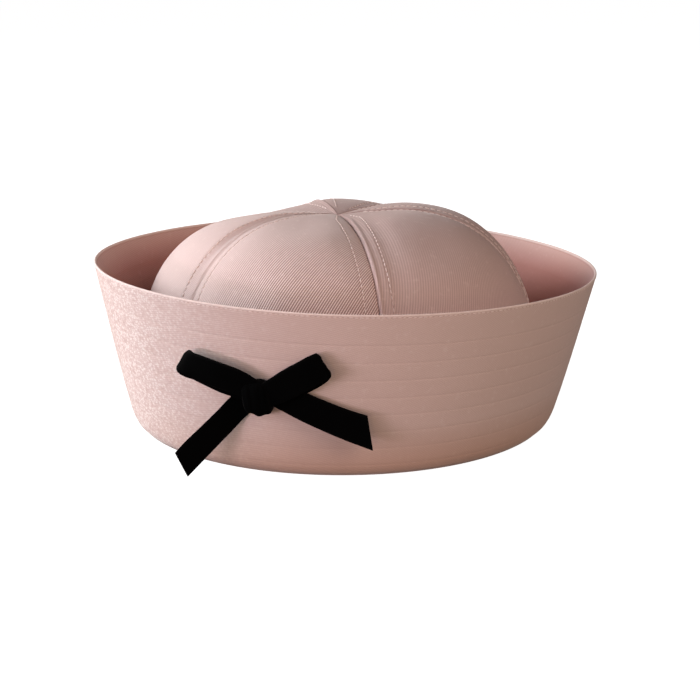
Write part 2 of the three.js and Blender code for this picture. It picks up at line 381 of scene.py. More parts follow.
def addWearAndGlint(desk, look, flatPlace, colour):
    # pale floats of the weave on the brim's lit left side, partly wear and partly painted glints, with darker
    # gaps between them
    wearAndGlintLook = look["wearAndGlint"]
    wearAndGlint = desk.attribute("wearAndGlint")
    longer = desk.node("ShaderNodeMapping", {}, {"Vector": flatPlace, "Scale": wearAndGlintLook["stretch"]})
    floats = desk.node("ShaderNodeTexVoronoi", {}, {"Vector": longer, "Scale": wearAndGlintLook["scale"]})
    dots = ((1.0 - floats * wearAndGlintLook["sharp"]) * wearAndGlintLook["contrast"]).clamped() * wearAndGlint
    colour = desk.colours(dots * wearAndGlintLook["bright"], colour, wearAndGlintLook["colour"])
    gaps = ((floats - wearAndGlintLook["gapFrom"]) * wearAndGlintLook["gapSharp"]).clamped() * wearAndGlint
    return desk.colours(gaps * wearAndGlintLook["gapDark"], colour, look["furrow"], "MULTIPLY")


def addRows(desk, look, colour, height):
    # the brim's stitched furrows with painted shade in them, painted shade on its inside and towards its
    # foot, and its pale edge
    rows, inside, footShade = look["rows"], look["inside"], look["footShade"]
    below = desk.attribute("belowRim")
    outside = desk.attribute("outside")
    place = (below - rows["first"] * mm) / (rows["pitch"] * mm)
    near = abs(place - (place + 0.5).floor()) * rows["pitch"] * mm
    within = desk.node("ShaderNodeMath", {"operation": "GREATER_THAN"}, {0: place, 1: -0.5})
    furrow = near.hump(0.0, rows["width"] * mm) * within
    edgeRow = below.hump(rows["edge"] * mm, rows["edgeWidth"] * mm)
    # painted shade in the stitched furrows and in the furrow near the edge
    dark = (furrow * rows["dark"] + edgeRow * rows["edgeDark"]).clamped()
    colour = desk.colours(dark, colour, look["furrow"], "MULTIPLY")
    # painted shade on the inside of the band, deepening below the rim
    paintedInsideShade = (inside["atRim"] + below / (inside["over"] * mm)).clamped()
    colour = desk.colours((1.0 - outside) * paintedInsideShade, colour, inside["colour"], "MULTIPLY")
    # painted shade: darker towards the foot of the band, left off where the wear and glint patch lies
    foot = ((below - footShade["from"] * mm) / (footShade["over"] * mm)).clamped()
    foot = foot * (1.0 - desk.attribute("wearAndGlint")).clamped() * outside
    colour = desk.colours(foot, colour, footShade["colour"], "MULTIPLY")
    edge = below.hump(0.0, look["edge"]["width"] * mm)
    colour = desk.colours(edge * look["edge"]["share"], colour, look["edge"]["colour"])
    return colour, height - (furrow * rows["depth"] + edgeRow * rows["edgeDepth"]) * mm


threadGrain = {"scale": 900.0, "bump": 0.25, "depth": 0.1, "sheen": 0.2}


def makeThread(name, look):
    material, desk = startMaterial(name)
    solidPlace = desk.node("ShaderNodeTexCoord", out=3)
    fleck = desk.noise(solidPlace, threadGrain["scale"], 2.0)
    relief = {"Height": fleck, "Strength": threadGrain["bump"], "Distance": threadGrain["depth"] * mm}
    desk.shade({
        "Base Color": desk.colours(fleck, look["shade"], look["light"]),
        "Roughness": look["roughness"],
        "Normal": desk.node("ShaderNodeBump", {}, relief),
        "Sheen Weight": threadGrain["sheen"],
    })
    return material


def makeVelvet(name, look):
    material, desk = startMaterial(name)
    solidPlace = desk.node("ShaderNodeTexCoord", out=3)
    flatPlace = desk.node("ShaderNodeUVMap", {"uv_map": "cloth"})
    pile = desk.noise(solidPlace, look["pileScale"], 2.0)
    brushed = desk.noise(solidPlace, look["brushScale"], 3.0)
    across = desk.node("ShaderNodeSeparateXYZ", {}, {0: flatPlace})
    edge = (abs(across) / (look["halfWidth"] * mm)).clamped() ** look["edgeSharp"]
    lit = (brushed * look["brushContrast"] - look["brushFrom"]).clamped()
    body = desk.colours(lit, look["dark"], look["light"])
    height = pile * look["pileDepth"] * mm + brushed * look["brushDepth"] * mm
    relief = {"Height": height, "Strength": look["bump"], "Distance": 1.0}
    desk.shade({
        # satin selvedge along the edges: its lower roughness is real, its paler colour a painted highlight
        "Base Color": desk.colours(edge * look["edgeShare"], body, look["selvedgeGlint"]),
        "Roughness": (look["roughness"] - edge * look["edgeShine"]).clamped(),
        "Normal": desk.node("ShaderNodeBump", {}, relief),
        "Sheen Weight": look["sheen"],
        "Sheen Roughness": look["sheenRoughness"],
        "Sheen Tint": look["sheenTint"],
        "Specular IOR Level": look["specular"],
    })
    return material


# lengths in mm, scales per metre
brimLook = {
    "rib": (0.775, 0.615, 0.575),
    "furrow": (0.70, 0.54, 0.50),
    "warm": (0.92, 0.86, 0.84),
    "fleck": (0.88, 0.76, 0.73),
    "flecks": 0.2,  # how far the pale floats stand out
    "ribAngle": 20,
    "ribPitch": 0.85,
    "yarnPitch": 0.8,
    "yarn": 0.3,
    "ribDepth": 0.06,
    "patchScale": 75.0,
    "patchDepth": 0.25,
    "bump": 0.5,
    "roughness": 0.8,
    "sheen": 0.3,
    "sheenTint": (1.0, 0.93, 0.92),
    "wearAndGlint": {
        "scale": 930.0, "stretch": (0.7, 1.0, 1.0), "sharp": 2.2, "contrast": 2.2, "bright": 0.7,
        "colour": (1.0, 0.95, 0.91), "gapFrom": 0.62, "gapSharp": 4.0, "gapDark": 0.5,
    },
    "rows": {
        "first": 13.0, "pitch": 7.87, "width": 0.38, "dark": 0.035, "depth": 0.05,
        "edge": 0.7, "edgeWidth": 0.3, "edgeDark": 0.3, "edgeDepth": 0.1,
    },
    "inside": {"colour": (0.64, 0.38, 0.36), "atRim": 0.55, "over": 30.0},  # painted shade on the inside face, darker and redder deeper below the rim
    "footShade": {"colour": (0.84, 0.70, 0.60), "from": 50, "over": 20},  # painted shade, darker towards the foot of the band
    "edge": {"colour": (0.86, 0.72, 0.68), "width": 0.35, "share": 0.6},
}
crownLook = {
    "rib": (0.90, 0.74, 0.71),
    # dark enough to paint the shade in the twill's furrows
    "furrow": (0.29, 0.165, 0.15),
    "warm": (0.92, 0.86, 0.84),
    "fleck": (0.86, 0.72, 0.69),
    "flecks": 0.15,
    "ribAngle": 0,
    "ribPitch": 1.0,
    "yarnPitch": 1.0,
    "yarn": 0.15,
    "crisp": True,
    "ribDepth": 0.1,
    "patchScale": 42.0,
    "patchDepth": 2.0,
    "bump": 0.5,
    "roughness": 0.82,
    "sheen": 0.25,
    "sheenTint": (1.0, 0.94, 0.93),
}
brimThreadLook = {"light": (0.74, 0.58, 0.54), "shade": (0.58, 0.43, 0.39), "roughness": 0.75}
crownThreadLook = {"light": (0.88, 0.74, 0.71), "shade": (0.76, 0.60, 0.56), "roughness": 0.6}
velvetLook = {
    "dark": (0.0003, 0.0003, 0.0004),
    "light": (0.0007, 0.0007, 0.0008),
    "selvedgeGlint": (0.003, 0.0022, 0.0022),
    "halfWidth": 6.0,
    "edgeSharp": 14.0,
    "edgeShare": 0.6,
    "edgeShine": 0.35,
    "pileScale": 2600.0,
    "pileDepth": 0.1,
    "brushScale": 130.0,
    "brushDepth": 0.5,
    "brushContrast": 1.6,
    "brushFrom": 0.4,
    "bump": 0.5,
    "roughness": 0.95,
    "sheen": 0.012,
    "sheenRoughness": 0.35,
    "sheenTint": (0.25, 0.25, 0.3),
    "specular": 0.04,
}
brimTwill = makeTwill("brimTwill", brimLook)
crownTwill = makeTwill("crownTwill", crownLook)
brimThread = makeThread("brimThread", brimThreadLook)
crownThread = makeThread("crownThread", crownThreadLook)
blackVelvet = makeVelvet("blackVelvet", velvetLook)
print("materials made")


def makeStitchTree():
    # small rounded bars along a line
    sizes = ("Pitch", "Stitch Length", "Thickness", "Unevenness")
    inputs = {"Float": sizes, "Int": ("Sides", "Seed"), "Material": ("Thread",)}
    tree, desk, take = startTree("stitches", inputs)
    lines = desk.node("GeometryNodeMeshToCurve", {}, {0: take["Geometry"]})
    spacing = {"Curve": lines, "Length": take["Pitch"]}
    dots = desk.node("GeometryNodeCurveToPoints", {"mode": "LENGTH"}, spacing)
    tangent = Wire(desk, dots.socket.node.outputs["Tangent"])
    turned = desk.node("FunctionNodeAlignRotationToVector", {"axis": "Z"}, {"Vector": tangent})
    bar = desk.node("GeometryNodeMeshUVSphere", {}, {"Segments": take["Sides"], "Rings": 4, "Radius": 0.5})
    sides = {0: take["Thickness"], 1: take["Thickness"], 2: take["Stitch Length"]}
    size = desk.node("ShaderNodeCombineXYZ", {}, sides)
    stitch = desk.node("GeometryNodeTransform", {}, {"Geometry": bar, "Scale": size})
    smooth = desk.node("GeometryNodeSetShadeSmooth", {}, {0: stitch})
    limits = {2: 1.0 - take["Unevenness"], 3: 1.0 + take["Unevenness"], "Seed": take["Seed"]}
    uneven = desk.node("FunctionNodeRandomValue", {"data_type": "FLOAT"}, limits, 1)
    placing = {"Points": dots, "Instance": smooth, "Rotation": turned, "Scale": uneven}
    endTree(desk, desk.node("GeometryNodeInstanceOnPoints", {}, placing), take["Thread"])
    return tree


stitchTree = makeStitchTree()


def addStitches(name, lines, look, thread):
    # lines are pairs of points and whether they close to a ring
    points, edges = [], []
    for line, ring in lines:
        start, count = len(points), len(line)
        points.extend(np.asarray(line).tolist())
        edges.extend((start + k, start + k + 1) for k in range(count - 1))
        if ring:
            edges.append((start + count - 1, start))
    made = addMesh(name, points, edges, [])
    useNodes(made, stitchTree, {
        "Pitch": look["pitch"] * mm,
        "Stitch Length": look["length"] * mm,
        "Thickness": look["thickness"] * mm,
        "Unevenness": look["uneven"],
        "Sides": look["sides"],
        "Seed": look["seed"],
        "Thread": thread,
    })
    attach(made, "root")
    print(name, "has", len(made.data.polygons), "faces")
    return made


# lengths in mm; rise and flare as shares of the band's own
brim = {
    "baseRadius": 96.2,
    "rimRadius": 113.8,
    "height": 71.6,
    "baseShift": -1.4,
    "rimFall": 0.0259,
    "slant": 73.7,
    "rows": {
        "rise": (0.0, 0.02, 0.06, 0.16, 0.45, 0.75, 1.0),
        "flare": (-0.1, -0.01, 0.08, 0.2, 0.49, 0.77, 1.0),
        "wall": (2.6, 3.6, 3.0, 2.6, 2.3, 2.1, 1.8),  # thick where it is sewn to the hem of the crown
    },
    "rimRows": {"azimuth": (-180, -120, -60, 0, 60, 120, 180), "lift": (0, -1.7, 0, 0, 0, -1.5, 0)},
    "around": 480,
    "plainRings": 38,
    "besideRow": (-0.8, -0.4, 0, 0.4, 0.8),
    "closest": 0.15,  # a ring nearer than this to the one before is left out
    "noRows": 2,  # above the foot
    "overRim": 8,
    "rimWall": 1.0,  # the folded edge is pressed thinner than the band below it
    "pressed": 5.0,
    "upInside": 60,
    "furrow": 0.04,  # depth of the stitched furrows
    "furrowWidth": 0.5,
    "puff": 0.015,  # of the cloth between them
    "plainPuff": 0.6,  # above the first row, as a share
    "quiltFrom": -0.08,  # in rows from the first
    "sway": 0.3,  # of the whole band
    "swayScale": 22.0,
    "swayFrom": 1.4,  # how soon the band sways freely above its foot
    "seed": 4.0,
    "wearAndGlintSide": -72,
    "wearAndGlintSpread": 36,
    "stitch": {"pitch": 3.3, "length": 2.2, "thickness": 0.2, "uneven": 0.25, "sides": 6, "seed": 3},
    "stitchSunk": 0.13,
    "edgeStitch": {"pitch": 2.1, "length": 1.7, "thickness": 0.5, "uneven": 0.2, "sides": 6, "seed": 5},
    "edgeStitchSunk": 0.1,
}
brimFlareAt = smoothColumn(brim["rows"], "rise", "flare")
brimWallAt = smoothColumn(brim["rows"], "rise", "wall")
rimLiftAt = smoothColumn(brim["rimRows"], "azimuth", "lift")
stitchedRows = brimLook["rows"]


def rimHeight(azimuth):
    tilted = brim["height"] - brim["rimFall"] * brim["rimRadius"] * np.sin(np.radians(azimuth))
    return tilted + rimLiftAt(angleBetween(azimuth, 0))


def brimPoint(rise, azimuth, depth, lift=0.0):
    flare = brim["rimRadius"] - brim["baseRadius"]
    radius = brim["baseRadius"] + flare * brimFlareAt(rise) - depth
    point = around(radius, azimuth, rimHeight(azimuth) * rise + lift)
    point[..., 0] += brim["baseShift"] * (1 - rise)
    return point * mm


def rowPlaces():
    # how far below the rim the rows are stitched
    return np.arange(stitchedRows["first"], brim["slant"] - brim["noRows"], stitchedRows["pitch"])


def brimRises():
    # close together beside each stitched row
    below = list(np.linspace(0, brim["slant"], brim["plainRings"]))
    for row in [stitchedRows["edge"], *rowPlaces()]:
        below += [row + step for step in brim["besideRow"]]
    below = sorted(below)
    kept = [0.0] + [b for a, b in zip(below, below[1:]) if b - a > brim["closest"]]
    return 1 - np.array(kept[::-1]) / kept[-1]


def makeQuiltTree():
    # furrows, puffs and sway of the brim, along its own normal
    rows = ("First Row", "Row Pitch", "Edge Row", "Furrow", "Furrow Width", "Puff")
    tree, desk, take = startTree("quilting", {
        "Float": (*rows, "Sway", "Sway Scale", "Seed"),
        "Material": ("Cloth",),
    })

    def stored(name):
        return desk.node("GeometryNodeInputNamedAttribute", {"data_type": "FLOAT"}, {"Name": name})

    below = stored("belowRim")
    place = (below - take["First Row"]) / take["Row Pitch"]
    quilted = desk.node("ShaderNodeMath", {"operation": "GREATER_THAN"}, {0: place, 1: brim["quiltFrom"]})
    near = abs(place - (place + 0.5).floor()) * take["Row Pitch"]
    width = take["Furrow Width"]
    furrow = near.hump(0.0, width) * quilted + below.hump(take["Edge Row"], width)
    between = (1.0 - place.wave()) * quilted + (1.0 - quilted) * brim["plainPuff"]
    spot = {"Vector": desk.node("GeometryNodeInputPosition"), "W": take["Seed"], "Scale": take["Sway Scale"]}
    noise = desk.node("ShaderNodeTexNoise", {"noise_dimensions": "4D"}, {**spot, "Detail": 1.0})
    rise = between * take["Puff"] - furrow * take["Furrow"]
    rise = rise * stored("outside") + (noise - 0.5) * take["Sway"] * stored("free")
    normal = desk.node("GeometryNodeInputNormal")
    offset = desk.node("ShaderNodeVectorMath", {"operation": "SCALE"}, {0: normal, "Scale": rise})
    moved = desk.node("GeometryNodeSetPosition", {}, {"Geometry": take["Geometry"], "Offset": offset})
    endTree(desk, moved, take["Cloth"])
    return tree


def brimSection():
    # up the outside, over the rim and down the inside
    rises = brimRises()
    wall = brim["rimWall"]
    turns = np.radians(np.arange(1, brim["overRim"]) * 180 / brim["overRim"])
    downward = np.linspace(1, 0, brim["upInside"])
    thinned = np.clip(1 - (1 - downward) * brim["slant"] / brim["pressed"], 0, 1) ** 2
    inner = brimWallAt(downward) - (float(brimWallAt(1.0)) - wall) * thinned
    return {
        "rise": np.concatenate([rises, np.ones(len(turns)), downward]),
        "depth": np.concatenate([0 * rises, wall / 2 * (1 - np.cos(turns)), inner]),
        "lift": np.concatenate([0 * rises, wall / 2 * np.sin(turns), 0 * downward]),
        "below": np.concatenate([(1 - rises) * brim["slant"], 0 * turns, (1 - downward) * brim["slant"]]),
        "outside": np.concatenate([np.ones(len(rises)), 0.5 * (1 + np.cos(turns)), 0 * downward]),
    }


def flatBand(places, below):
    # the flat cut of a flared band is part of a ring
    flare = (brim["rimRadius"] - brim["baseRadius"]) / brim["slant"]
    turn = np.radians(places[..., 0] * 360 / brim["around"] - 180) * flare
    ring = brim["rimRadius"] / flare - np.append(below, below[0])[places[..., 1]]
    return np.stack([ring * np.sin(turn), ring * np.cos(turn)], -1) * mm


def addBrim():
    azimuths = np.arange(brim["around"]) * 360 / brim["around"] - 180
    section = brimSection()
    below, outside = section["below"], section["outside"]
    rise, depth, lift = (section[name][None, :] for name in ("rise", "depth", "lift"))
    points = brimPoint(rise, azimuths[:, None], depth, lift)
    columns, rows = points.shape[:2]
    numbers, places = gridFaces(columns, rows, True, True)
    # the patch of wear and painted glints lies on the lit left side
    wearAndGlint = humpAt(angleBetween(azimuths, brim["wearAndGlintSide"]), 0, brim["wearAndGlintSpread"])
    floats = {
        "belowRim": np.tile(below * mm, columns),
        "outside": np.tile(outside, columns),
        "free": np.tile(np.clip(section["rise"] * brim["swayFrom"], 0, 1), columns),
        "wearAndGlint": (wearAndGlint[:, None] * outside).ravel(),
    }
    made = addPiece("brimShell", points, numbers, flatBand(places, below), floats)
    useNodes(made, makeQuiltTree(), {
        "First Row": stitchedRows["first"] * mm,
        "Row Pitch": stitchedRows["pitch"] * mm,
        "Edge Row": stitchedRows["edge"] * mm,
        "Furrow": brim["furrow"] * mm,
        "Furrow Width": brim["furrowWidth"] * mm,
        "Puff": brim["puff"] * mm,
        "Sway": brim["sway"] * mm,
        "Sway Scale": brim["swayScale"],
        "Seed": brim["seed"],
        "Cloth": brimTwill,
    })
    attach(made, "root")
    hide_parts("brim")
    return made


def stitchedRing(below, sunk):
    return brimPoint(1 - below / brim["slant"], np.arange(360.0), sunk), True


brimShell = addBrim()
rowLines = [stitchedRing(below, brim["stitchSunk"]) for below in rowPlaces()]
brimStitches = addStitches("brimStitches", rowLines, brim["stitch"], brimThread)
edgeLines = [stitchedRing(stitchedRows["edge"], brim["edgeStitchSunk"])]
edgeStitches = addStitches("edgeStitches", edgeLines, brim["edgeStitch"], crownThread)
print("brim made")


# seams a to f are at the left of the gores, in their order; lengths in mm, lifts and azimuths in degrees
crown = {
    "cloth": 1.5,
    "baseShift": -1.4,
    "apexShift": -3.5,
    "tipRadius": 0.3,
    "seamGap": 0.1,
    "puffSharpness": 2.4,
    "rows": {
        "lift": (0, 12, 24, 36, 46, 56, 68, 80, 90),
        "a": (92, 93.8, 98.4, 104.3, 106.3, 105.2, 100.5, 94.8, 91.6),
        "b": (92, 94, 99, 105.4, 107, 104, 98.6, 93.8, 91.6),
        "c": (92, 93.6, 97.4, 101.8, 104.5, 104.8, 101, 94.8, 91.6),
        "d": (92, 93.6, 97.8, 102.5, 104, 102.2, 97.5, 93.2, 91.6),
        "e": (92, 93.8, 98, 103.2, 105, 103.4, 99.8, 95.2, 91.6),
        "f": (92, 93.6, 97.8, 102.2, 103.2, 101.2, 96.2, 92.8, 91.6),
        "puff": (0, 0.6, 1.7, 2.8, 3.4, 3.6, 2.9, 1.4, 0),
    },
    # each gore's even tone is painted light and shade: lighter on the lit left gores, darker on the right
    # ones
    "gores": [
        {"node": "front", "azimuth": -50, "puff": 1.2, "ridge": 1.2,
         "grain": 68, "crisp": 1.0, "even": 0.6, "plainLeft": 0.85},
        {"node": "front_right", "azimuth": 11, "puff": 1.1, "ridge": 1.0,
         "grain": 62, "crisp": 0.25, "even": 0.43},
        {"node": "back_right", "azimuth": 85, "puff": 1.0, "ridge": 0.8,
         "grain": 68, "crisp": 0.6, "even": 0.42},
        {"node": "back", "azimuth": 144, "puff": 0.6, "ridge": 0.8,
         "grain": 64, "crisp": 0.6, "even": 0.42},
        {"node": "back_left", "azimuth": 195, "puff": -0.3, "ridge": 0.8,
         "grain": 66, "crisp": 0.6, "even": 0.5},
        {"node": "left", "azimuth": 252, "puff": 1.0, "ridge": 0.8,
         "grain": 65, "crisp": 0.22, "even": 0.65},
    ],
    "dents": [  # azimuth, lift, depth and spread
        (-22, 66, 1.6, 9),
        (38, 52, 1.0, 8),
        (24, 46, 1.3, 9),
        (-84, 64, 1.0, 9),
        (-31, 43, 0.7, 5),
        (-17, 40, -0.7, 4.5),
        (-6, 47, 0.6, 5),
    ],
    "folds": [  # gore, side, lift, reach up and down, distance from the seam, width and depth
        ("left", "right", 62, 15, 3.2, 2.4, 1.5),
        ("front_right", "left", 52, 24, 9.5, 3.5, 0.7),
    ],
    "besideSeam": [0, 0.25, 0.55, 0.9, 1.3, 1.8, 2.5, 3.3, 4.2, 4.9,
                   5.3, 5.55, 5.8, 6.05, 6.3, 6.7, 7.4, 8.5],
    "inMiddle": 9,
    "narrow": 14,  # half a gore's width below which the seams draw together
    "up": 104,
    "hemFade": 4,  # degrees of lift over which the seams' relief begins
    "stitchLine": 5.8,
    "furrow": 0.13,
    "furrowWidth": 0.4,
    "shoulder": {"height": 0.06, "from": 7.2, "width": 1.2},
    "lap": {"from": 0.9, "width": 0.8},
    "crack": {"depth": 0.5, "width": 0.2},
    "dip": {"depth": 0.55, "width": 0.45},  # of the edge that is lapped over
    "band": {"from": 1.0, "rise": 0.8, "fall": 1.2, "over": 0.22, "under": 0.1},
    "weaveFade": {"share": 0.7, "from": 44, "over": 18},
    "topShade": {"share": 0.26, "from": 50, "over": 28},
    "plainOver": 0.45,
    "stitch": {"pitch": 2.75, "length": 2.1, "thickness": 0.5, "uneven": 0.12, "sides": 8, "seed": 11},
    "stitchLifts": (2, 82, 90),
    "stitchProud": 0.17,
}
seamReaches = [smoothColumn(crown["rows"], "lift", name) for name in "abcdef"]
puffAt = smoothColumn(crown["rows"], "lift", "puff")


def dentAt(azimuth, lift):
    total = 0.0
    for middle, height, depth, spread in crown["dents"]:
        across = angleBetween(azimuth, middle) * np.cos(np.radians(lift))
        away = np.hypot(across, lift - height) / spread
        total = total + depth * np.exp(-(away**2))
    return total


def seamRelief(distance, over, ridge):
    # the cloth beside a seam: one edge laps over the other, and both are stitched down
    shoulder, lap, crack, dip, band = (crown[name] for name in ("shoulder", "lap", "crack", "dip", "band"))
    line = -crown["furrow"] * humpAt(distance, crown["stitchLine"], crown["furrowWidth"])
    line = line + shoulder["height"] * humpAt(distance, shoulder["from"], shoulder["width"])
    raised = fadeAt(distance, band["from"], band["rise"])
    raised = raised * np.clip((crown["stitchLine"] - distance) / band["fall"], 0, 1)
    if over:
        edge = ridge * humpAt(distance, lap["from"], lap["width"])
        edge = edge - crack["depth"] * humpAt(distance, 0, crack["width"])
        return line + edge + band["over"] * raised
    return line - dip["depth"] * humpAt(distance, 0, dip["width"]) + band["under"] * raised


def seamsAt(index, lift):
    # how far out the seams at a gore's left and right are, and the degrees between them
    after = (index + 1) % len(crown["gores"])
    span = (crown["gores"][after]["azimuth"] - crown["gores"][index]["azimuth"]) % 360
    return seamReaches[index](lift), seamReaches[after](lift), span


def gorePoint(index, lift, share, depth, relief=0.0):
    gore = crown["gores"][index]
    left, right, span = seamsAt(index, lift)
    seams = left * (1 - share) + right * share
    level = np.cos(np.radians(lift))
    inset = np.degrees(crown["seamGap"] / 2 / (seams * level))
    azimuth = gore["azimuth"] + inset + (span - 2 * inset) * share
    bulge = 1 - np.abs(2 * share - 1) ** crown["puffSharpness"]
    reach = seams + (gore["puff"] * puffAt(lift) - dentAt(azimuth, lift)) * bulge - depth + relief
    point = around(reach * level, azimuth, reach * np.sin(np.radians(lift)))
    point[..., 0] += crown["apexShift"] + (crown["baseShift"] - crown["apexShift"]) * level**2
    return point * mm


def goreWidth(index, lift):
    left, right, span = seamsAt(index, lift)
    return np.radians(span) * ((left + right) / 2) * np.cos(np.radians(lift))


def squeezeAt(width):
    # how far the seams' relief draws together where a gore is narrow
    return np.minimum(1, width / 2 / crown["narrow"])


def goreColumns(width):
    # each column's share of the width, its distance from the nearer seam, and whether it is at the left
    squeeze = squeezeAt(width)
    fixed = np.array(crown["besideSeam"]) * squeeze
    steps = np.linspace(0, 1, crown["inMiddle"] + 1)[1:]
    half = np.concatenate([fixed, fixed[:, -1:] + (width / 2 - fixed[:, -1:]) * steps], 1)
    share = np.concatenate([half, (width - half)[:, -2::-1]], 1) / width
    distance = np.concatenate([half, half[:, -2::-1]], 1) / squeeze
    return share, distance, np.arange(share.shape[1]) < half.shape[1]


def goreRelief(gore, lifts, width, distance, left):
    relief = np.where(left, seamRelief(distance, True, gore["ridge"]), seamRelief(distance, False, 0))
    relief = relief * squeezeAt(width) ** 0.5
    for node, which, lift, reach, start, wide, depth in crown["folds"]:
        if node == gore["node"]:
            side = left if which == "left" else ~left
            relief = relief - depth * humpAt(distance, start, wide) * humpAt(lifts, lift, reach) * side
    return relief * fadeAt(lifts, 0, crown["hemFade"])


def flatGore(gore, share, width, climb, places):
    # flat places: across from the middle of the gore, and up from its hem, turned to the cloth's grain
    across = (share - 0.5) * width * mm
    across = np.concatenate([across, across[:, ::-1], across[:, :1]], 1)
    angle = math.radians(-gore["grain"])
    u, v = across[places[..., 0], places[..., 1]], climb[places[..., 0]]
    c, d = math.cos(angle), math.sin(angle)
    return np.stack([u * c - v * d, u * d + v * c], -1)


def goreSides(rows, size):
    # the faces that close the hem and the tip
    sides = []
    last = (rows - 1) * size
    for j in range(size // 2 - 1):
        sides.append([j + 1, size - 2 - j, size - 1 - j, j])
        sides.append([last + size - 1 - j, last + size - 2 - j, last + j + 1, last + j])
    return sides


def goreTones(gore, lifts, share):
    # crisp says how far the weave's painted furrow shade shows, and even how light the cloth is where it
    # doesn't: painted light and shade, lighter on the lit left gores and darker on the right and towards the
    # top
    weaveFade, topShade = crown["weaveFade"], crown["topShade"]
    faded = weaveFade["share"] * fadeAt(lifts, weaveFade["from"], weaveFade["over"])
    crisp = gore["crisp"] * (1 - faded)
    crisp = crisp * (1 - gore.get("plainLeft", 0) * np.clip(1 - share / crown["plainOver"], 0, 1))
    even = gore["even"] - topShade["share"] * fadeAt(lifts, topShade["from"], topShade["over"])
    return {
        "crisp": np.concatenate([crisp, crisp[:, ::-1]], 1).ravel(),
        "even": np.repeat(even, 2 * share.shape[1]),
    }


def addGore(index):
    gore = crown["gores"][index]
    apexReach = crown["rows"]["a"][-1]
    lifts = np.linspace(0, 90 - math.degrees(crown["tipRadius"] / apexReach), crown["up"])[:, None]
    width = goreWidth(index, lifts)
    share, distance, left = goreColumns(width)
    outer = gorePoint(index, lifts, share, 0.0, goreRelief(gore, lifts, width, distance, left))
    inner = gorePoint(index, lifts, share, crown["cloth"])[:, ::-1]
    ring = np.concatenate([outer, inner], 1)
    rows, size = ring.shape[:2]
    numbers, places = gridFaces(rows, size, False, True)
    climb = runAlong(gorePoint(index, lifts, 0.5, 0.0)[:, 0])
    sides = goreSides(rows, size)
    flats = list(flatGore(gore, share, width, climb, places)) + [np.zeros((4, 2))] * len(sides)
    name = "gore" + gore["node"].title().replace("_", "")
    made = addPiece(name, ring, list(numbers) + sides, flats, goreTones(gore, lifts, share), crownTwill)
    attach(made, "root")
    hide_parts("crown_gore_" + gore["node"])


def stitchLines():
    lines = []
    lifts = np.linspace(*crown["stitchLifts"])
    for index in range(len(crown["gores"])):
        width = goreWidth(index, lifts)
        squeeze = squeezeAt(width)
        share = crown["stitchLine"] * squeeze / width
        relief = -crown["furrow"] * squeeze**0.5 + crown["stitchProud"]
        for place in (share, 1 - share):
            lines.append((gorePoint(index, lifts, place, 0.0, relief), False))
    return lines


for index in range(len(crown["gores"])):
    addGore(index)
crownStitches = addStitches("crownStitches", stitchLines(), crown["stitch"], crownThread)
print("crown made")


